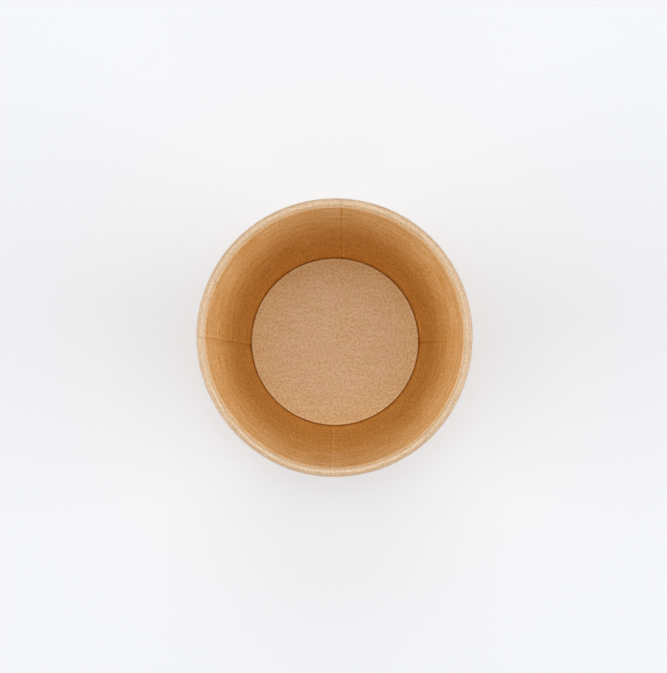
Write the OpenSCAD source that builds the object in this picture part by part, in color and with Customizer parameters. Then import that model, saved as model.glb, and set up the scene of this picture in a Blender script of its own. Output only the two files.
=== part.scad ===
// Paper soup container: a conical wall wrapped from one sheet of kraft board, lapped and glued down its
// side, rolled outwards at the rim and folded inwards round the skirt of a pressed board base.
// It stands on its foot at z = 0, with its axis on Z.

/* [Container] */
// Diameter over the rolled rim
rim_d = 98; // [90:1:120]
// Outside diameter of the wall at the foot
foot_d = 74.5; // [60:0.5:80]
// Height from the foot to the top of the rim
height = 99; // [60:1:150]

/* [Board] */
// Thickness of the wall's board
wall_t = 0.45; // [0.3:0.05:0.5]
// Thickness of the base's board
base_t = 0.35; // [0.25:0.05:0.5]
// Space left for the glue between the base's skirt and the wall
glue_gap = 0.03; // [0.02:0.01:0.05]

/* [Rolled rim] */
// Outside diameter of the roll's section
roll_d = 3.14; // [3:0.02:4.5]
// Angle that the board turns through in the roll
roll_turn = 390; // [330:10:400]
// Play between the roll's turns at the lap, where the board is thickest
roll_play = 0.1; // [0.06:0.01:0.12]

/* [Side seam] */
// Width of the lap where the wall's two ends are glued together
lap_w = 6.5; // [5:0.5:10]
// Length over which the outer end bends back to the line of the wall
lap_bend = 3; // [2:0.5:6]
// Step of the lap inside the roll, where it is squeezed hardest
rim_step = 0.1; // [0.1:0.05:0.2]
// Depth by which the glued strip is pressed into each face of the board
seam_press = 0.02; // [0.01:0.005:0.03]
// Direction of the lap's outer edge, seen from above
seam_angle = 172; // [90:1:270]

/* [Foot] */
// Height left between the hem's edge and the crease of the base's skirt
hem_clear = 0.5; // [0.3:0.1:3]
// Depth by which the fold is pressed flat
foot_press = 0.07; // [0.04:0.01:0.15]

/* [Base] */
// Height of the base's upper face above the foot
base_rise = 8.4; // [8:0.2:20]
// Inside radius of the bend between the base and its skirt
bend_r = 0.05; // [0.05:0.05:0.6]
// Width of the groove between the base's bend and the wall
groove_w = 0.57; // [0.3:0.01:1]
// Angle by which the skirt leans out from the bend until it meets the wall
groove_lean = 15; // [10:1:25]
// Height of the skirt's lower edge above the middle of the fold
skirt_clear = 0.3; // [0.1:0.1:2]

/* [Hidden] */
$fn = 144;

// Steps of the curves: round the roll, round the fold, round the base's bend and up the wall
roll_steps = 30;
fold_steps = 12;
bend_steps = 8;
wall_steps = 6;
// Stations across the lap and across the bend beside it, and the plain margin on either side
lap_stations = 4;
ramp_stations = 5;
seam_margin = 2.5;
// Turn by which the strip's ends run on inside the plain wall
seam_sunk = 0.3;
turn_rad = 180 / PI;

// Rolled rim: the centre and outside radius of the roll, the outside radius of its inner turn, and the angle
// at which the roll starts to wind inwards with the turn that it takes
roll_r = roll_d / 2;
roll_at = [rim_d / 2 - roll_r, height - roll_r];
inner_roll_r = roll_r - wall_t - rim_step - roll_play;
inner_turn_from = -30;
inner_turn_span = 160;

// Slope of the wall: its outer face runs from the foot's edge and touches the roll's inner circle
foot_to_roll = roll_at - [foot_d / 2, 0];
slope = atan2(foot_to_roll[0], foot_to_roll[1]) - asin((roll_r - wall_t) / norm(foot_to_roll));
wall_up = [sin(slope), cos(slope)];
wall_out = [cos(slope), -sin(slope)];
food_foot = [foot_d / 2, 0] - wall_t * wall_out;

// Foot: the fold goes round the skirt, so its inside radius follows from the base's board
fold_r = base_t / 2 + glue_gap;
fold_z = fold_r + wall_t - foot_press;
fold_at = on_wall(fold_z + fold_r * wall_out[1]) - fold_r * wall_out;

// Base: its bend stands off the wall by the groove, and from the bend's end, at the shoulder, the skirt leans
// out to a crease, from which it runs down along the wall
bend_out = bend_r + base_t;
bend_at = [on_wall(base_rise)[0] - groove_w - bend_out * cos(groove_lean), base_rise - bend_out];
shoulder = bend_at + bend_out * dir(groove_lean);
skirt_foot = on_wall(fold_z + skirt_clear) - glue_gap * wall_out;
lean_run = (skirt_foot - shoulder) * wall_out / sin(groove_lean + slope);
skirt_top = shoulder + lean_run * [sin(groove_lean), -cos(groove_lean)];
hem_h = skirt_top[1] - hem_clear;

// Point of the wall's inner face at a height
function on_wall(z) = food_foot + wall_up * (z - food_foot[1]) / wall_up[1];

// Direction at an angle of the section's plane
function dir(angle) = [cos(angle), sin(angle)];
function ease(u) = (1 - cos(180 * min(max(u, 0), 1))) / 2;

// The wall's section, from the roll's hidden edge to the hem's, with both faces pressed in by a depth: each
// entry holds a point of the food side, one of the outer side, and how far the lap's second layer lies off
function layer(middle, out, across, press, step) =
    [middle + (across + press) * out, middle + (across + wall_t - press) * out, step];
function roll_point(angle, press) =
    let (
        wound = min(max((inner_turn_from - angle) / inner_turn_span, 0), 1),
        radius = roll_r - (roll_r - inner_roll_r) * ease(wound),
        tilt = atan2((roll_r - inner_roll_r) * 90 * sin(180 * wound) / inner_turn_span, radius)
    )
    layer(roll_at + radius * dir(angle), -dir(angle - tilt), 0, press, -rim_step * dir(angle - tilt));
function wall_point(z, press) = layer(on_wall(z), wall_out, 0, press, wall_t * wall_out);
function fold_point(angle, press) = layer(fold_at, dir(angle), fold_r, press, [wall_t * cos(angle), 0]);
function hem_point(z, press) =
    layer(on_wall(z) - 2 * fold_r * wall_out, -wall_out, 0, press, -wall_t * wall_out);

roll_from = 180 - slope;
wall_top_z = (roll_at + roll_r * dir(roll_from))[1];
wall_foot_z = (fold_at + fold_r * wall_out)[1];
function section(press) =
    let (turn = roll_turn - press / inner_roll_r * turn_rad)
    concat(
        [for (i = [0 : roll_steps]) roll_point(roll_from - turn * (1 - i / roll_steps), press)],
        [for (i = [1 : wall_steps - 1])
            wall_point(wall_top_z + (wall_foot_z - wall_top_z) * i / wall_steps, press)],
        [for (i = [0 : fold_steps]) fold_point(-slope - 180 * i / fold_steps, press)],
        [hem_point(hem_h - press, press)]
    );

// Food side and outer side of a section, with the lap's second layer under either by a share of its step;
// the fold's underside is pressed level to stand on
function food_side(entry, share) = entry[0] + share * entry[2];
function outer_side(entry, share, floor_z) =
    let (point = entry[1] + share * entry[2])
    [point[0], max(point[1], floor_z)];

plain = section(0);
strip = section(seam_press);
last_entry = len(strip) - 1;

// The seam's stations: each holds where it lies, as a fixed turn and a distance round the wall, and the
// share of the step, first for the food side and then for the outer side. The end ones lie in the plain wall.
seam_end = (lap_w + lap_bend) / (fold_at[0] - 2 * fold_r - 2 * wall_t) * turn_rad + seam_margin;
stations = concat(
    [[-seam_margin - seam_sunk, 0, 0, -seam_margin - seam_sunk, 0, 0]],
    [for (i = [0 : lap_stations + 1])
        [0, lap_w * i / (lap_stations + 1), 0, 0, lap_w * max(i - 1, 0) / lap_stations, min(i, 1)]],
    [for (i = [0 : ramp_stations])
        let (share = 1 - ease(i / ramp_stations), outer = (i + 1) / (ramp_stations + 1))
        [0, lap_w + lap_bend * i / ramp_stations, share, 0, lap_w + lap_bend * outer, 1 - ease(outer)]],
    [[seam_end + seam_sunk, 0, 0, seam_end + seam_sunk, 0, 0]]
);

function around(point, turn, way) =
    let (angle = seam_angle + turn + way / point[0] * turn_rad)
    [point[0] * cos(angle), point[0] * sin(angle), point[1]];
function seam_ring(s) = concat(
    [for (entry = strip) around(food_side(entry, s[2]), s[0], s[1])],
    [for (i = [last_entry : -1 : 0]) around(outer_side(strip[i], s[5], seam_press), s[3], s[4])]
);

// Lapped strip of the wall, swept from one station to the next
module side_seam() {
    ring = 2 * len(strip);
    last = (len(stations) - 1) * ring;
    polyhedron(
        points = [for (s = stations) each seam_ring(s)],
        faces = concat(
            [for (k = [0 : len(stations) - 2], i = [0 : ring - 1])
                let (a = k * ring + i, b = k * ring + (i + 1) % ring)
                each [[a, b, b + ring], [a, b + ring, a + ring]]],
            [for (i = [0 : last_entry - 1]) [i, ring - 1 - i, ring - 2 - i, i + 1]],
            [for (i = [0 : last_entry - 1]) [last + i, last + i + 1, last + ring - 2 - i, last + ring - 1 - i]]
        ),
        convexity = 12
    );
}

// Wall of one layer, turned round the axis from one side of the strip to the other
module plain_wall() {
    rotate_extrude(start = seam_angle + seam_end, angle = 360 - seam_margin - seam_end, convexity = 12)
        polygon(concat(
            [for (entry = plain) food_side(entry, 0)],
            [for (i = [len(plain) - 1 : -1 : 0]) outer_side(plain[i], 0, 0)]
        ));
}

module sidewall() {
    color("#c8955c") {
        plain_wall();
        side_seam();
    }
}

// Base: a flat disc whose edge is bent down into a skirt, held between the wall and its hem
module base_disc() {
    bend_angles = [for (i = [0 : bend_steps]) 90 - (90 - groove_lean) * i / bend_steps];
    crease_mitre = (dir(groove_lean) + wall_out) / (1 + dir(groove_lean) * wall_out);
    color("#bf9468")
        rotate_extrude(convexity = 4)
            polygon(concat(
                [[0, base_rise]],
                [for (angle = bend_angles) bend_at + bend_out * dir(angle)],
                [skirt_top, skirt_foot, skirt_foot - base_t * wall_out, skirt_top - base_t * crease_mitre],
                [for (i = [bend_steps : -1 : 0]) bend_at + bend_r * dir(bend_angles[i])],
                [[0, base_rise - base_t]]
            ));
}

sidewall();
base_disc();
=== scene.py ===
"""Paper soup container of kraft board: its seam, rolled rim and pressed base, on a pale floor in soft light.

Sizes are in millimetres until a vertex is made. The axes are the frame's: +Z up, the side seam towards -X.
"""

import math

import bpy
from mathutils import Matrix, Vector, noise

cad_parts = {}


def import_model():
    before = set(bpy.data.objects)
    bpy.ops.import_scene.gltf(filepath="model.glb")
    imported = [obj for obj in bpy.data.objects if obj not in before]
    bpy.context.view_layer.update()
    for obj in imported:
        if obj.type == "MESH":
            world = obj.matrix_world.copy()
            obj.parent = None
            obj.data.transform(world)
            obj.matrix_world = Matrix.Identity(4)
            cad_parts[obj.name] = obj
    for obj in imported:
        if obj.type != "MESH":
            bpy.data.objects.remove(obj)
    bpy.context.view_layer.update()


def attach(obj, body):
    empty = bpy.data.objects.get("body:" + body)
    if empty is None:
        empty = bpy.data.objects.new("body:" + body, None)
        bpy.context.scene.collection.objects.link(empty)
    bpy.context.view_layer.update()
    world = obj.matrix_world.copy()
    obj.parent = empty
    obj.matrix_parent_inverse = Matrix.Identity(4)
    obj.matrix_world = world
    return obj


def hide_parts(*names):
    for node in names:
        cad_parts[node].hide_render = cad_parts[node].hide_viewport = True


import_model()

MM = 0.001

# Driving sizes of the container, as its solids have them
RIM_D = 98
FOOT_D = 74.5
HEIGHT = 99
WALL_T = 0.45
BASE_T = 0.35
GLUE_GAP = 0.03
ROLL_D = 3.14
ROLL_TURN = 390
ROLL_PLAY = 0.1
LAP_W = 6.5
LAP_BEND = 3
RIM_STEP = 0.1
SEAM_PRESS = 0.02
SEAM_ANGLE = 172
HEM_CLEAR = 0.5
FOOT_PRESS = 0.07
BASE_RISE = 8.4
BEND_R = 0.05
GROOVE_W = 0.57
GROOVE_LEAN = 15
SKIRT_CLEAR = 0.3

# Steps of the meshes
ROLL_STEPS = 46
WALL_STEPS = 56
FOLD_STEPS = 16
HEM_STEPS = 6
DISC_RINGS = 26
BEND_STEPS = 10
BASE_STATIONS = 240

# Outline of the rim: it is slightly oval and three-cornered. Each lobe is a count, a depth and a direction.
# The radius is less by the loss, and all of it grows from the base upwards with a power of the height.
OUT_OF_ROUND = ((2, 0.212, -84.8), (3, 0.101, 41.3), (4, 0.025, -25.5), (5, 0.03, -31.9), (6, 0.024, 8.1))
ROUND_LOSS = 0.31
ROUND_GROWTH = 1.5

# Soft and fine unevenness of the wall: depth, scale round the wall and size up the wall
SOFT_DEPTH = 0.05
SOFT_SCALE = 2.2
SOFT_RISE = 60
FINE_DEPTH = 0.012
FINE_SCALE = 14
FINE_RISE = 9

# Unevenness of the base: depth, size, and the stiff margin and the distance past it over which it grows
BASE_WAVE_DEPTH = 0.05
BASE_WAVE_SIZE = 11
BASE_MARGIN = 1.5
BASE_WAVE_GROWTH = 4

# Creases down the wall: direction at the rim and at the base
CREASES = ((86.9, 85.5), (269.15, 269.27), (357.5, 359.25))
CREASE_DEPTH = 0.05
CREASE_W = 0.35

# Nick in the rim: how far below the rim's top it starts, and over how much height it grows
NICK_ANGLE = 155.4
NICK_DEPTH = 0.12
NICK_W = 0.35
NICK_REACH = 2.6
NICK_GROWTH = 0.8


# Section of the board

def clamp(value, low=0.0, high=1.0):
    return min(max(value, low), high)


def ease(u):
    return (1 - math.cos(math.pi * clamp(u))) / 2


def way(angle):
    """Direction at an angle in degrees, in the section's plane or seen from above."""
    return Vector((math.cos(math.radians(angle)), math.sin(math.radians(angle))))


# Rolled rim: centre and outside radius of the roll, outside radius of its inner turn, and the angle at which
# it starts to wind inwards with the turn that it takes
ROLL_R = ROLL_D / 2
ROLL_AT = Vector((RIM_D / 2 - ROLL_R, HEIGHT - ROLL_R))
INNER_ROLL_R = ROLL_R - WALL_T - RIM_STEP - ROLL_PLAY
WIND_FROM = -30
WIND_SPAN = 160

# Slope of the wall, whose outer face runs from the foot's edge and touches the roll's inner circle
FOOT_TO_ROLL = ROLL_AT - Vector((FOOT_D / 2, 0))
SLOPE = math.degrees(
    math.atan2(FOOT_TO_ROLL.x, FOOT_TO_ROLL.y) - math.asin((ROLL_R - WALL_T) / FOOT_TO_ROLL.length)
)
WALL_UP = Vector((math.sin(math.radians(SLOPE)), math.cos(math.radians(SLOPE))))
WALL_OUT = way(-SLOPE)
FOOD_FOOT = Vector((FOOT_D / 2, 0)) - WALL_T * WALL_OUT


def on_wall(z):
    """Point of the wall's inner face at a height."""
    return FOOD_FOOT + WALL_UP * ((z - FOOD_FOOT.y) / WALL_UP.y)


# Foot: the fold goes round the base's skirt
FOLD_R = BASE_T / 2 + GLUE_GAP
FOLD_Z = FOLD_R + WALL_T - FOOT_PRESS
FOLD_AT = on_wall(FOLD_Z + FOLD_R * WALL_OUT.y) - FOLD_R * WALL_OUT

# Base: the end of its bend, and the crease from which the skirt runs down along the wall
BEND_OUT = BEND_R + BASE_T
BEND_AT = Vector((on_wall(BASE_RISE).x - GROOVE_W - BEND_OUT * way(GROOVE_LEAN).x, BASE_RISE - BEND_OUT))
SHOULDER = BEND_AT + BEND_OUT * way(GROOVE_LEAN)
SKIRT_FOOT = on_wall(FOLD_Z + SKIRT_CLEAR) - GLUE_GAP * WALL_OUT
LEAN_RUN = (SKIRT_FOOT - SHOULDER).dot(WALL_OUT) / math.sin(math.radians(GROOVE_LEAN + SLOPE))
SKIRT_TOP = SHOULDER + LEAN_RUN * way(GROOVE_LEAN - 90)
HEM_H = SKIRT_TOP.y - HEM_CLEAR


def layer(point, out, step):
    """Food side, outer side, the lap's step and the direction through the board."""
    return (point + SEAM_PRESS * out, point + (WALL_T - SEAM_PRESS) * out, step, out)


# The roll springs back a little towards the opening, and the wall's top goes with it
SPRING = 0.2
SPRING_REACH = 2.2


def roll_point(angle):
    """Entry at an angle round the roll. Where the board winds inwards it tilts as the radius changes."""
    wound = clamp((WIND_FROM - angle) / WIND_SPAN)
    depth = ROLL_R - INNER_ROLL_R
    radius = ROLL_R - depth * ease(wound)
    tilt = math.degrees(math.atan2(depth * 90 * math.sin(math.pi * wound) / WIND_SPAN, radius))
    out = -way(angle - tilt)
    sprung = Vector((SPRING * way(angle).x, 0)) if angle > 90 else Vector((0, 0))
    return layer(ROLL_AT + radius * way(angle) + sprung, out, RIM_STEP * out)


def wall_point(z):
    down = ROLL_AT.y - z
    sprung = SPRING * math.exp(-(down / SPRING_REACH) ** 2)
    return layer(on_wall(z) - sprung * WALL_OUT, WALL_OUT, WALL_T * WALL_OUT)


def fold_point(angle):
    out = way(angle)
    return layer(FOLD_AT + FOLD_R * out, out, Vector((WALL_T * out.x, 0)))


def hem_point(z):
    return layer(on_wall(z) - 2 * FOLD_R * WALL_OUT, -WALL_OUT, -WALL_T * WALL_OUT)


def spread(low, high, steps):
    return [low + (high - low) * i / steps for i in range(steps + 1)]


def board_section():
    """The wall's section, from the roll's hidden edge to the hem's, and its length from the wall's top."""
    roll_from = 180 - SLOPE
    turn = ROLL_TURN - math.degrees(SEAM_PRESS / INNER_ROLL_R)
    wall_top = (ROLL_AT + ROLL_R * way(roll_from)).y
    wall_foot = (FOLD_AT + FOLD_R * WALL_OUT).y
    hem_foot = (FOLD_AT - FOLD_R * WALL_OUT).y
    entries = [roll_point(angle) for angle in spread(roll_from - turn, roll_from, ROLL_STEPS)]
    entries += [wall_point(z) for z in spread(wall_top, wall_foot, WALL_STEPS)[1:-1]]
    entries += [fold_point(angle) for angle in spread(-SLOPE, -SLOPE - 180, FOLD_STEPS)]
    entries += [hem_point(z) for z in spread(hem_foot, HEM_H - SEAM_PRESS, HEM_STEPS)[1:]]
    along = [0.0]
    for before, after in zip(entries, entries[1:]):
        along.append(along[-1] + (after[0] - before[0]).length)
    start = along[ROLL_STEPS]
    return entries, [distance - start for distance in along]


# Small relief of the surface

def bell(distance, width):
    return math.exp(-(distance / width) ** 2)


def turn_between(angle, other):
    return (angle - other + 180) % 360 - 180


def height_share(z):
    """Share of the way up from the base to the rim."""
    return clamp((z - BASE_RISE) / (HEIGHT - BASE_RISE))


def dent(angle, radius, z):
    """Depth by which the board is pressed outwards at the creases and at the rim's nick."""
    def at(direction, width):
        return bell(math.radians(turn_between(angle, direction)) * radius, width)

    share = height_share(z)
    depth = sum(
        CREASE_DEPTH * at(at_base + (at_rim - at_base) * share, CREASE_W) for at_rim, at_base in CREASES
    )
    on_rim = clamp((z - HEIGHT + NICK_REACH) / NICK_GROWTH)
    return depth + on_rim * NICK_DEPTH * at(NICK_ANGLE, NICK_W)


def swell(angle, z):
    """Change of radius: the rim's outline and the board's unevenness, fading out towards the stiff foot."""
    rise = height_share(z) ** ROUND_GROWTH
    lobes = sum(depth * math.cos(math.radians(count * (angle - at))) for count, depth, at in OUT_OF_ROUND)
    around = way(angle)
    soft = Vector((around.x, around.y, z / SOFT_RISE)) * SOFT_SCALE
    fine = Vector((around.x * FINE_SCALE, around.y * FINE_SCALE, z / FINE_RISE))
    return rise * (lobes - ROUND_LOSS + SOFT_DEPTH * noise.noise(soft) + FINE_DEPTH * noise.noise(fine))


def place(point, out, turn, distance):
    """Vertex of the wall and its direction, from a point of the section, a turn and a distance round."""
    angle = SEAM_ANGLE + turn + math.degrees(distance / point.x)
    moved = point + out * dent(angle, point.x, point.y)
    moved.x += swell(angle, point.y)
    around = way(angle)
    return Vector((moved.x * around.x, moved.x * around.y, moved.y)) * MM, angle


# Meshes

# Material slots of each board: its face, its back and its cut edges
FACE, BACK, CUT = range(3)


def mesh_object(name, vertices, faces, uvs, slots, materials, sharp):
    mesh = bpy.data.meshes.new(name)
    mesh.from_pydata(vertices, [], faces)
    layer_uv = mesh.uv_layers.new(name="sheet")
    for loop, uv in zip(layer_uv.data, uvs):
        loop.uv = uv
    for material in materials:
        mesh.materials.append(material)
    mesh.polygons.foreach_set("material_index", slots)
    mesh.polygons.foreach_set("use_smooth", [True] * len(faces))
    edges = {frozenset(edge) for edge in sharp}
    for edge in mesh.edges:
        if frozenset(edge.vertices) in edges:
            edge.use_edge_sharp = True
    mesh.update()
    obj = bpy.data.objects.new(name, mesh)
    bpy.context.collection.objects.link(obj)
    return obj


# Stations across the seam: places between its two edges as shares of the lap, steps of the bend beside it,
# and stations at each edge, as a place in widths of the cut and the share of the step that is reached there
FOOD_LAP = (0, 0.12, 0.3, 0.5, 0.7, 0.85, 0.94)
OUTER_LAP = (0.08, 0.2, 0.35, 0.5, 0.65, 0.8, 0.92)
LAP_BEND_STEPS = 10
CUT_W = 0.04
FOOD_EDGE = ((-2, 0), (-1, 0.06), (0, 0.2), (1, 1))
OUTER_EDGE = ((0, 0), (0.5, 0.9), (1, 1))
# Rise of the step's share from which the strip between two stations is a cut edge
CUT_RISE = 0.5


def seam_stations():
    """Stations across the lap: turn, distance and share of the step, on the food side and the outer side."""
    food = [(LAP_W * u, 0) for u in FOOD_LAP]
    food += [(LAP_W + CUT_W * at, share) for at, share in FOOD_EDGE]
    food += [(LAP_W + CUT_W + LAP_BEND * u, 1 - ease(u)) for u in spread(0, 1, LAP_BEND_STEPS)[1:]]
    outer = [(CUT_W * at, share) for at, share in OUTER_EDGE]
    outer += [(LAP_W * u, 1) for u in OUTER_LAP]
    outer += [(LAP_W + LAP_BEND * u, 1 - ease(u)) for u in spread(0, 1, len(food) - len(outer) - 1)]
    return [(0, a, share_a, 0, b, share_b) for (a, share_a), (b, share_b) in zip(food, outer)]


# Stations round the plain wall: the seam's margin and end, the reach of the fine ones on either side of a
# crease or the nick, and their turn and that of the others
SEAM_MARGIN = 2.5
SEAM_END = math.degrees((LAP_W + LAP_BEND) / (FOLD_AT.x - 2 * FOLD_R - 2 * WALL_T)) + SEAM_MARGIN
FINE_REACH = 1.8
FINE_TURN = 0.2
PLAIN_TURN = 1.6


def plain_turns():
    """Turns of the stations past the lap, close together at the creases and the nick."""
    turns = []
    turn = SEAM_END
    fine = [angle for crease in CREASES for angle in crease] + [NICK_ANGLE]
    while turn < 360 - SEAM_MARGIN - PLAIN_TURN / 2:
        turns.append(turn)
        gap = min(abs(turn_between(SEAM_ANGLE + turn, angle)) for angle in fine)
        turn += FINE_TURN if gap < FINE_REACH else PLAIN_TURN
    return turns + [360 - SEAM_MARGIN]


def sidewall(food, outer, cut):
    """The wall's sheet, swept round from station to station, each a ring of its food side and outer side."""
    entries, along = board_section()
    stations = seam_stations()
    stations += [(turn, 0, 0, turn, 0, 0) for turn in plain_turns()]
    count = len(entries)
    ring = 2 * count
    vertices, turned = [], []
    for turn_a, way_a, share_a, turn_b, way_b, share_b in stations:
        for inner, _, step, out in entries:
            vertex, angle = place(inner + share_a * step, out, turn_a, way_a)
            vertices.append(vertex)
            turned.append(angle)
        for _, outside, step, out in reversed(entries):
            point = outside + share_b * step
            point.y = max(point.y, SEAM_PRESS)
            vertex, angle = place(point, out, turn_b, way_b)
            vertices.append(vertex)
            turned.append(angle)
    distance = along + along[::-1]
    round_scale = math.radians(1) * RIM_D / 2 * MM
    faces, uvs, slots, sharp = [], [], [], []
    for k in range(len(stations)):
        wrap = k == len(stations) - 1
        here, there = k * ring, 0 if wrap else (k + 1) * ring
        start, end = stations[k], stations[(k + 1) % len(stations)]
        food_cut = not wrap and end[2] - start[2] > CUT_RISE
        outer_cut = not wrap and end[5] - start[5] > CUT_RISE
        for i in range(ring):
            j = (i + 1) % ring
            faces.append((here + i, here + j, there + j, there + i))
            for vertex, side in ((here + i, i), (here + j, j), (there + j, j), (there + i, i)):
                turn = turned[vertex] + (360 if wrap and vertex < ring else 0)
                uvs.append((turn * round_scale, distance[side] * MM))
            tip = i in (count - 1, ring - 1)
            step = (food_cut and i < count - 1) or (outer_cut and count <= i < ring - 1)
            slots.append(CUT if tip or step else (FACE if i < count else BACK))
            if step:
                sharp += [(here + i, here + j), (there + i, there + j)]
            if tip:
                sharp += [(here + i, there + i), (here + j, there + j)]
    return mesh_object("wall_board", vertices, faces, uvs, slots, (food, outer, cut), sharp)


# Spread of the disc's rings, and the points down the slant and the skirt as shares of their lengths
RING_SPREAD = 0.8
SLANT_AT = (0.3, 0.65, 0.93)
SKIRT_AT = (0.05, 0.35, 0.7, 1)


def base_section():
    """Points of the base, over its upper face to the skirt's foot and back to the middle of its underside."""
    lean = way(GROOVE_LEAN)
    mitre = (lean + WALL_OUT) / (1 + lean.dot(WALL_OUT))
    angles = spread(90, GROOVE_LEAN, BEND_STEPS)
    top = [Vector((BEND_AT.x * (i / DISC_RINGS) ** RING_SPREAD, BASE_RISE)) for i in range(1, DISC_RINGS)]
    under = [Vector((point.x, BASE_RISE - BASE_T)) for point in reversed(top)]
    outside = [BEND_AT + BEND_OUT * way(angle) for angle in angles]
    inside = [BEND_AT + BEND_R * way(angle) for angle in reversed(angles)]
    slant = [SHOULDER.lerp(SKIRT_TOP, u) for u in SLANT_AT]
    skirt = [SKIRT_TOP.lerp(SKIRT_FOOT, u) for u in SKIRT_AT]
    lining = [point - BASE_T * WALL_OUT for point in reversed(skirt)]
    # The lining's corner lies further up than the crease, so the slant's last point has none beneath it
    lining += [SKIRT_TOP - BASE_T * mitre]
    lining += [point - BASE_T * lean for point in reversed(slant[:-1])]
    return top + outside + slant + skirt, lining + inside + under


def base_disc(upper_face, under_face, cut):
    """The base's board, turned round the axis, with a single vertex in the middle of either face."""
    upper, under = base_section()
    points = upper + under
    count = len(points)
    vertices = [Vector((0, 0, BASE_RISE)) * MM, Vector((0, 0, BASE_RISE - BASE_T)) * MM]
    for k in range(BASE_STATIONS):
        around = way(360 * k / BASE_STATIONS)
        for point in points:
            x, y = point.x * around.x, point.x * around.y
            inner = clamp((FOOT_D / 2 - BASE_MARGIN - point.x) / BASE_WAVE_GROWTH)
            lift = BASE_WAVE_DEPTH * inner * noise.noise(Vector((x, y, 0)) / BASE_WAVE_SIZE)
            vertices.append(Vector((x, y, point.y + lift)) * MM)
    faces, slots, sharp = [], [], []
    for k in range(BASE_STATIONS):
        here, there = 2 + k * count, 2 + (k + 1) % BASE_STATIONS * count
        faces.append((0, here, there))
        slots.append(FACE)
        for i in range(count - 1):
            faces.append((here + i, here + i + 1, there + i + 1, there + i))
            slots.append(CUT if i == len(upper) - 1 else (FACE if i < len(upper) else BACK))
        faces.append((here + count - 1, 1, there + count - 1))
        slots.append(BACK)
        for i in (len(upper) - 1, len(upper)):
            sharp.append((here + i, there + i))
    uvs = [vertices[vertex].xy for face in faces for vertex in face]
    return mesh_object("base_board", vertices, faces, uvs, slots, (upper_face, under_face, cut), sharp)


# Materials

def linear(red, green, blue):
    """Linear colour of an sRGB colour given in steps of 255."""
    return tuple(((c / 255 + 0.055) / 1.055) ** 2.4 for c in (red, green, blue)) + (1,)


class Graph:
    """A material's node tree, with a short call for each kind of node that the board needs."""

    def __init__(self, name):
        self.material = bpy.data.materials.new(name)
        self.material.use_nodes = True
        self.tree = self.material.node_tree
        self.shader = self.tree.nodes["Principled BSDF"]

    def add(self, kind, inputs, **settings):
        made = self.tree.nodes.new("ShaderNode" + kind)
        for key, value in settings.items():
            setattr(made, key, value)
        for key, value in inputs.items():
            if isinstance(value, bpy.types.NodeSocket):
                self.tree.links.new(value, made.inputs[key])
            else:
                made.inputs[key].default_value = value
        return made

    def link(self, socket, name):
        self.tree.links.new(socket, self.shader.inputs[name])

    def uniform(self, **values):
        """Shader values that are the same everywhere."""
        for name, value in values.items():
            self.shader.inputs[name.replace("_", " ")].default_value = value

    def math(self, operation, *values):
        return self.add("Math", dict(enumerate(values)), operation=operation).outputs[0]

    def apart(self, value, other):
        """Distance between two values."""
        return self.math("ABSOLUTE", self.math("SUBTRACT", value, other))

    def length(self, vector):
        return self.add("VectorMath", {0: vector}, operation="LENGTH").outputs["Value"]

    def ramp(self, value, low, high, to_low=0.0, to_high=1.0):
        inputs = {"Value": value, "From Min": low, "From Max": high, "To Min": to_low, "To Max": to_high}
        return self.add("MapRange", inputs, interpolation_type="SMOOTHSTEP").outputs[0]

    def fade(self, distance, start, end, to_start=0.0, to_end=1.0):
        """Ramp over a distance, whose start and end are given in millimetres."""
        return self.ramp(distance, start * MM, end * MM, to_start, to_end)

    def mix(self, share, first, second):
        return self.add("Mix", {0: share, 6: first, 7: second}, data_type="RGBA").outputs[2]

    def toned(self, colour, tone, specks=(1, 1.35, 1.8)):
        """Colour made paler or deeper by a tone, and greyer with it, by a share for red, green and blue."""
        change = self.add("VectorMath", {0: specks, "Scale": tone}, operation="SCALE").outputs[0]
        return self.add("VectorMath", {0: colour, 1: change, 2: colour}, operation="MULTIPLY_ADD").outputs[0]

    def sheet(self):
        """Place on the sheet: round the container or across, and down from the wall's top or along."""
        return self.add("UVMap", {}, uv_map="sheet").outputs[0]

    def axes(self, vector):
        return self.add("SeparateXYZ", {0: vector}).outputs

    def noise(self, vector, across, along, detail=1.0, rough=0.5, turn=0.0):
        """Noise round zero whose grain is so many millimetres across and along, turned by so many degrees."""
        turned = (0, 0, math.radians(turn))
        scale = (1 / (across * MM), 1 / (along * MM), 1)
        scaled = self.add("Mapping", {"Vector": vector, "Rotation": turned, "Scale": scale})
        inputs = {"Vector": scaled.outputs[0], "Scale": 1.0, "Detail": detail, "Roughness": rough}
        value = self.add("TexNoise", inputs, noise_dimensions="2D").outputs[0]
        return self.math("SUBTRACT", value, 0.5)

    def total(self, *weighted):
        """Sum of values, each times its weight."""
        value = None
        for term, weight in weighted:
            value = self.math("MULTIPLY_ADD", term, weight, 0.0 if value is None else value)
        return value


# Marks that the tool leaves round the hem: their pitch, where on the sheet they start and end, and their fade
KNURL_PITCH = 1.9
KNURL_FROM = 99.2
KNURL_TO = 104.4
KNURL_FADE = 0.6


def hem_knurl(graph, sheet):
    """Height of the upright marks pressed into the hem."""
    around, down = graph.axes(sheet)[:2]
    wave = graph.math("SINE", graph.math("MULTIPLY", around, 2 * math.pi / (KNURL_PITCH * MM)))
    start = graph.fade(down, KNURL_FROM, KNURL_FROM + KNURL_FADE)
    end = graph.fade(down, KNURL_TO, KNURL_TO - KNURL_FADE)
    return graph.math("MULTIPLY", wave, graph.math("MULTIPLY", start, end))


# Grain of the board: sizes across and along the sheet, directions in degrees, and the depth of its relief
STREAK_SIZE = (13, 2)
SPECKLE_TURN = 9
STRAND_SIZE = (2.8, 0.17)
STRAND_TURNS = (-38, 7, 51)
RELIEF = 0.05


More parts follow.
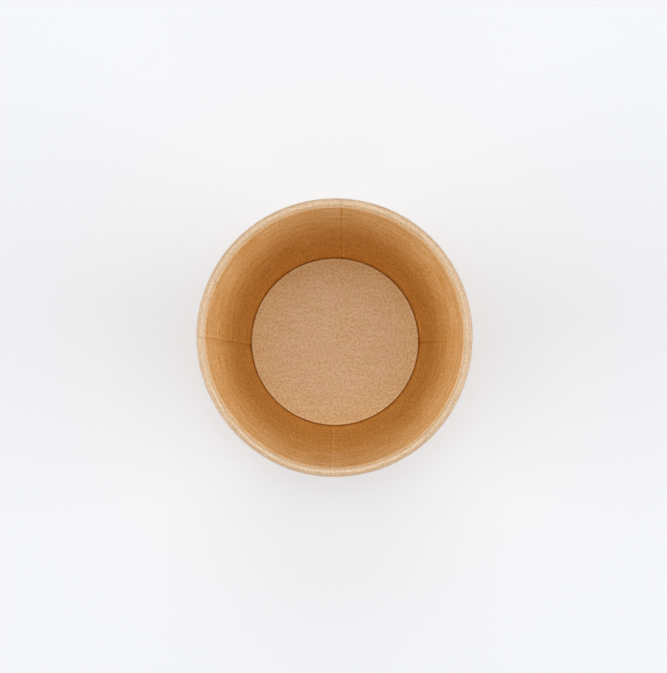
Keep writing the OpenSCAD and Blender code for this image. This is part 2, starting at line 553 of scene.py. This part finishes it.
def kraft(name, roughness, bump, grain=(0.95, 0.95), knurl=0.0):
    """Kraft board's streaks round the container, its speckle and its fibres, round zero, with fine relief."""
    graph = Graph(name)
    sheet = graph.sheet()
    streaks = graph.noise(sheet, *STREAK_SIZE, detail=2.0, rough=0.6)
    speckles = graph.noise(sheet, *grain, rough=0.6, turn=SPECKLE_TURN)
    strands = graph.total(*[(graph.noise(sheet, *STRAND_SIZE, turn=turn), 1) for turn in STRAND_TURNS])
    height = [(speckles, 1), (strands, 0.6), (streaks, 0.4)]
    if knurl:
        height.append((hem_knurl(graph, sheet), knurl))
    relief = {"Height": graph.total(*height), "Strength": bump, "Distance": RELIEF * MM}
    graph.link(graph.add("Bump", relief).outputs[0], "Normal")
    graph.uniform(Roughness=roughness)
    return graph, sheet, (streaks, speckles, strands)


# Places on the food side are distances down the sheet from the wall's top, below zero over the roll.
# WALL_RUN is the base's, WALL_DEEP that of the deepest colour, and ROLLED where the roll's look takes over.
WALL_RUN = 88
WALL_DEEP = 60
ROLLED = (0.8, -0.8)

# Colours of the food side: at the base, and where each next one starts to take over and where it has. They
# hold painted light
# and shade: the base's colour is painted light bounced up from the base, the deepest colour low on the wall
# is painted shade, the paler colour towards the wall's top is painted light, and the pale band where the wall
# turns into the roll is painted light on the roll's inward face. The two colours over the roll's crown and
# outside are the roll's own.
FOOT_COLOUR = (0.83, 0.475, 0.104, 1)
FOOD_COLOURS = (
    (WALL_RUN, WALL_DEEP, (0.76, 0.422, 0.086, 1)),
    (WALL_DEEP, 0, (0.84, 0.515, 0.213, 1)),
    (1.9, -0.2, (0.98, 0.65, 0.33, 1)),
    (0, -1.3, (0.645, 0.432, 0.236, 1)),
    (-1.9, -3, (0.648, 0.43, 0.25, 1)),
)
# painted shade for the dent at the rim's nick
NICK_SHADE_COLOUR = (0.3, 0.17, 0.07, 1)

# Painted shade and painted highlight down the food side, at the creases and at the lap's edge: a dark line
# where shade falls beside a lighter one where light falls, at the creases partly also real darkening where
# the film cracks. Each has its direction at the rim and at the base, tone over the roll, at the wall's top
# and at the base, and the distance over which the line fades out beside it
STROKES = (
    (87.0, 85.3, -0.07, -0.095, -0.07, 0.6),
    (86.15, 84.3, 0.05, 0.03, 0.09, 0.6),
    (269.1, 269.2, 0.05, 0.075, 0.12, 0.7),
    (268.15, 267.7, -0.03, -0.06, -0.07, 0.7),
    (357.5, 359.25, 0, 0.015, -0.2, 0.6),
    (180.05, 181.85, -0.16, -0.04, -0.05, 0.4),
    (179.3, 180.9, 0.05, 0.07, 0.07, 0.6),
    (182.7, 182.7, -0.06, 0, 0, 0.4),
)
STROKE_ROLLED = (1, -0.5)
STROKE_NARROWING = 0.6

# Grit of the roll and fine bands round it, as sizes across and along the sheet
GRIT_SIZE = (0.55, 0.45)
BAND_SIZE = (7, 0.36)
# Weight of the speckle at the wall's deepest colour and at its top
SPECKLED = (0.66, 0.3)
# Share of a tone that goes to red, green and blue on the wall and on the roll
WALL_SPECKS = (0.9, 1.9, 4.6, 1)
ROLL_SPECKS = (1, 1.4, 2.3, 1)

# Painted highlight lines that run round the rim, where the film catches the light: place, half width and tone
PAINTED_HIGHLIGHT_LINES = ((-0.45, 0.35, 0.12), (-1.85, 0.26, 0.18))

# Painted shade in the dent at the rim's nick: half width, place, where its length starts and is full, and its
# strength
MARK_W = 0.4
MARK_AT = -0.1
MARK_LENGTH = (1.6, 0.7)
MARK_SHARE = 0.6


def around_sheet(angle):
    """Place round the sheet of a direction, counted on from the seam."""
    return math.radians(SEAM_ANGLE + (angle - SEAM_ANGLE) % 360) * RIM_D / 2 * MM


def strokes(graph, sheet):
    """Tone of the painted shade and highlight lines down the food side, about as wide in the picture at the
    base as at the rim.
    """
    around, down = graph.axes(sheet)[:2]
    narrowing = graph.fade(down, 0, WALL_RUN, 1, STROKE_NARROWING)
    rolled = graph.fade(down, *STROKE_ROLLED)
    terms = []
    for at_rim, at_base, tone_roll, tone_top, tone_base, reach in STROKES:
        start, end = around_sheet(at_rim), around_sheet(at_base)
        line = graph.math("MULTIPLY_ADD", down, (end - start) / (WALL_RUN * MM), start)
        off = graph.math("MULTIPLY", graph.apart(around, line), narrowing)
        tone = graph.fade(down, 0, WALL_RUN, tone_top, tone_base)
        tone = graph.math("MULTIPLY_ADD", rolled, tone_roll - tone_top, tone)
        terms.append((graph.fade(off, reach, 0), tone))
    return graph.total(*terms)


def nick_shade(graph, sheet):
    """Share of painted shade in the dent at the rim's nick."""
    around, down = graph.axes(sheet)[:2]
    across = graph.fade(graph.apart(around, around_sheet(NICK_ANGLE)), MARK_W, 0)
    along = graph.fade(graph.apart(down, MARK_AT * MM), *MARK_LENGTH, 0, MARK_SHARE)
    return graph.math("MULTIPLY", across, along)


def food_side():
    """Inside of the wall and the whole rim: board under a thin film, paler and glossier on the roll. Its
    colour holds painted light and shade down the wall and on the roll's inward face, painted highlight lines
    round the roll, painted shade and highlight at the creases and the lap's edge, and painted shade at the
    rim's nick.
    """
    graph, sheet, (streaks, speckles, strands) = kraft(
        "kraft_food_side", roughness=0.5, bump=0.3, grain=(1.3, 1.8)
    )
    down = graph.axes(sheet)[1]
    rolled = graph.fade(down, *ROLLED)

    def by_place(on_the_wall, on_the_roll):
        return graph.ramp(rolled, 0, 1, on_the_wall, on_the_roll)

    # painted light and shade down the wall, as colours that take over one from the next
    colour = FOOT_COLOUR
    for start, full, above in FOOD_COLOURS:
        colour = graph.mix(graph.fade(down, start, full), colour, above)
    # painted shade in the dent at the rim's nick
    colour = graph.mix(nick_shade(graph, sheet), colour, NICK_SHADE_COLOUR)
    speckled = graph.fade(down, WALL_DEEP, 0, *SPECKLED)
    grit = graph.noise(sheet, *GRIT_SIZE)
    bands = graph.noise(sheet, *BAND_SIZE)
    # painted highlight lines round the roll, broken up by its bands
    painted_highlight_lines = graph.total(*[
        (graph.fade(graph.apart(down, at * MM), half_width, 0), tone) for at, half_width, tone in PAINTED_HIGHLIGHT_LINES
    ])
    tone = graph.total(
        (streaks, by_place(0.48, 0.12)),
        (speckles, graph.math("MULTIPLY", speckled, by_place(1, 0.6))),
        (grit, by_place(0, 0.68)),
        (strands, by_place(0.1, 0.2)),
        (bands, by_place(0, 0.32)),
        (painted_highlight_lines, graph.math("MULTIPLY_ADD", bands, 2, 1)),
        # painted shade and highlight lines at the creases and the lap's edge
        (strokes(graph, sheet), 1),
    )
    specks = graph.mix(rolled, WALL_SPECKS, ROLL_SPECKS)
    graph.link(graph.toned(colour, tone, specks), "Base Color")
    graph.link(by_place(0.12, 0.5), "Specular IOR Level")
    graph.link(by_place(0, 1), "Coat Weight")
    graph.uniform(Coat_Roughness=0.3)
    return graph.material


OUTER_COLOUR = (0.62, 0.42, 0.24)
# Soft clouds of the outer side, as a size across and along the sheet and a direction in degrees
CLOUD_SIZE = (14, 9)
CLOUD_TURN = 28
# Dark flecks of the outer side: size, directions in degrees, and the noise at which one starts and is full
FLECK_SIZE = (2.4, 0.2)
FLECK_TURNS = (-63, -12, 34)
FLECK_LEVEL = (0.2, 0.3)


def outer_side():
    """Outside of the wall and underside of the base: plain board with soft clouds and a few flecks."""
    graph, sheet, (streaks, speckles, strands) = kraft(
        "kraft_outer_side", roughness=0.72, bump=0.3, grain=(1.7, 1.3), knurl=1.2
    )
    clouds = graph.noise(sheet, *CLOUD_SIZE, detail=4.0, rough=0.62, turn=CLOUD_TURN)
    flecks = graph.total(*[
        (graph.ramp(graph.noise(sheet, *FLECK_SIZE, detail=0.0, turn=turn), *FLECK_LEVEL), 1)
        for turn in FLECK_TURNS
    ])
    tone = graph.total((streaks, 0.16), (clouds, 0.22), (speckles, 0.25), (strands, 0.2), (flecks, -0.14))
    graph.link(graph.toned(OUTER_COLOUR, tone), "Base Color")
    return graph.material


# Colours of the base's upper face: its yellower and its pinker patches, its outer part and the groove. The
# outer part's more orange colour is painted bounce light from the wall, and the groove's deeper orange is
# painted shade.
BASE_YELLOW = (0.885, 0.73, 0.435, 1)
BASE_PINK = (0.905, 0.71, 0.515, 1)
BASE_OUTER = (0.91, 0.715, 0.405, 1)
GROOVE_COLOUR = (0.92, 0.56, 0.17, 1)
# Size of the patches, the levels of their noise between which one turns into the other, and the share of a
# tone that goes to red, green and blue
PATCH_SIZE = (9, 7)
PATCH_LEVEL = (-0.25, 0.25)
BASE_SPECKS = (1, 1.7, 2.8)
# Radii on the base: where the outer part's colour starts, its paler edge, which is painted light, and its
# bend into the groove
OUTER_FROM = 20
PAINTED_PALE_EDGE = (36.0, 36.4)
GROOVE_EDGE = (36.85, 37.0)


def base_face():
    """Uncoated upper face of the base: patches of a pinker and a yellower board, a more orange outer part as
    painted bounce light, a paler edge as painted light and a deeper orange groove as painted shade.
    """
    graph, sheet, (streaks, speckles, strands) = kraft("base_upper_face", roughness=0.68, bump=0.5)
    out = graph.length(sheet)
    patches = graph.noise(sheet, *PATCH_SIZE, detail=4.0, rough=0.8)
    colour = graph.mix(graph.ramp(patches, *PATCH_LEVEL), BASE_YELLOW, BASE_PINK)
    # painted bounce light from the wall towards the base's edge
    colour = graph.mix(graph.fade(out, OUTER_FROM, GROOVE_EDGE[0]), colour, BASE_OUTER)
    # painted shade in the groove
    colour = graph.mix(graph.fade(out, *GROOVE_EDGE), colour, GROOVE_COLOUR)
    # painted light on the base's edge beside the groove
    painted_pale_edge = graph.fade(out, *PAINTED_PALE_EDGE)
    tone = graph.total((streaks, 0.14), (patches, 0.08), (speckles, 0.45), (strands, 0.12), (painted_pale_edge, 0.06))
    graph.link(graph.toned(colour, tone, BASE_SPECKS), "Base Color")
    return graph.material


CUT_COLOUR = (0.66, 0.46, 0.27)


def cut_edge():
    graph, _, (streaks, speckles, strands) = kraft("board_cut_edge", roughness=0.85, bump=0.6)
    tone = graph.total((streaks, 0.2), (speckles, 0.6), (strands, 0.4))
    graph.link(graph.toned(CUT_COLOUR, tone), "Base Color")
    return graph.material


# Floor, light and camera

FLOOR_COLOUR = linear(243, 244, 246)
# The floor's radius and sides, and how far from the container it fades into the backdrop, in metres
FLOOR_RADIUS = 6
FLOOR_SIDES = 96
FLOOR_FADE = (0.3, 1.1)


def floor():
    """Pale floor. To the camera its far part shows the backdrop's colour, so that no horizon shows."""
    graph = Graph("floor_paper")
    graph.uniform(Base_Color=FLOOR_COLOUR, Roughness=0.9, Specular_IOR_Level=0.1)
    far = graph.length(graph.add("TexCoord", {}).outputs["Object"])
    seen = graph.add("LightPath", {}).outputs["Is Camera Ray"]
    share = graph.math("MULTIPLY", graph.ramp(far, *FLOOR_FADE), seen)
    backdrop = graph.add("Emission", {"Color": FLOOR_COLOUR, "Strength": 1.0})
    blend = graph.add("MixShader", {0: share, 1: graph.shader.outputs[0], 2: backdrop.outputs[0]})
    graph.tree.links.new(blend.outputs[0], graph.tree.nodes["Material Output"].inputs["Surface"])
    bpy.ops.mesh.primitive_circle_add(vertices=FLOOR_SIDES, radius=FLOOR_RADIUS, fill_type="NGON")
    plane = bpy.context.object
    plane.name = "floor"
    plane.data.materials.append(graph.material)


# Where the lamps point and how far off they stand, in metres
LAMP_AIM = (0, 0, 0.05)
LAMP_DISTANCE = 1.4
# Lamps: zenith and azimuth in degrees, width and height in metres, and power in watts
LAMPS = {
    "overhead": (7, 90, 0.4, 0.4, 3.0),
    "overhead_wide": (7, 90, 1.6, 0.7, 3.0),
    "back": (42, 90, 0.7, 0.7, 2.0),
    "front": (55, -90, 0.7, 0.5, 0.45),
    "left": (62, 188, 1.2, 0.7, 6.2),
    "right": (62, -8, 1.2, 0.7, 6.2),
}
# Strength of the world's light on the container; the camera sees the world at a strength of 1
WORLD_STRENGTH = 0.49


def softbox(name, zenith, azimuth, width, height, power):
    """Rectangular light whose width is level."""
    data = bpy.data.lights.new(name, "AREA")
    data.shape = "RECTANGLE"
    data.size = width
    data.size_y = height
    data.energy = power
    across = math.sin(math.radians(zenith)) * way(azimuth)
    towards = Vector((across.x, across.y, math.cos(math.radians(zenith))))
    lamp = bpy.data.objects.new(name, data)
    lamp.location = Vector(LAMP_AIM) + LAMP_DISTANCE * towards
    lamp.rotation_euler = (-towards).to_track_quat("-Z", "Y").to_euler()
    bpy.context.collection.objects.link(lamp)


def world():
    scene_world = bpy.data.worlds.new("studio")
    bpy.context.scene.world = scene_world
    scene_world.use_nodes = True
    tree = scene_world.node_tree
    background = tree.nodes["Background"]
    background.inputs[0].default_value = FLOOR_COLOUR
    path = tree.nodes.new("ShaderNodeLightPath")
    level = tree.nodes.new("ShaderNodeMapRange")
    level.inputs["To Min"].default_value = WORLD_STRENGTH
    level.inputs["To Max"].default_value = 1.0
    tree.links.new(path.outputs["Is Camera Ray"], level.inputs["Value"])
    tree.links.new(level.outputs[0], background.inputs[1])


# The photograph: its centre, the point straight below the camera and the rim's centre, as column and row, its
# focal length and its longer side in pixels. The camera stands CAMERA_RISE above the middle of the roll.
FRAME_CENTRE_PX = (333, 336.5)
NADIR_PX = (335.6, 358.9)
RIM_CENTRE_PX = (334.18, 336.95)
FOCAL_PX = 946
FRAME_LONG_PX = 673
SENSOR_MM = 36
CAMERA_RISE = 331.4


def camera():
    data = bpy.data.cameras.new("camera")
    data.sensor_width = SENSOR_MM
    data.lens = FOCAL_PX / FRAME_LONG_PX * SENSOR_MM
    data.clip_start = 0.01
    scale = CAMERA_RISE / FOCAL_PX
    cam = bpy.data.objects.new("camera", data)
    cam.location = Vector((
        (NADIR_PX[0] - RIM_CENTRE_PX[0]) * scale,
        (RIM_CENTRE_PX[1] - NADIR_PX[1]) * scale,
        ROLL_AT.y + CAMERA_RISE,
    )) * MM
    tilt = math.atan2(NADIR_PX[1] - FRAME_CENTRE_PX[1], FOCAL_PX)
    roll = math.atan2(NADIR_PX[0] - FRAME_CENTRE_PX[0], FOCAL_PX)
    cam.rotation_euler = (tilt, roll, 0)
    bpy.context.collection.objects.link(cam)
    bpy.context.scene.camera = cam


def studio():
    floor()
    camera()
    world()
    for name, lamp in LAMPS.items():
        softbox(name, *lamp)
    bpy.context.scene.view_settings.view_transform = "Standard"


def container():
    outer, cut = outer_side(), cut_edge()
    wall = sidewall(food_side(), outer, cut)
    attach(wall, "root")
    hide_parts("sidewall")
    base = base_disc(base_face(), outer, cut)
    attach(base, "root")
    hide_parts("base_disc")


container()
studio()
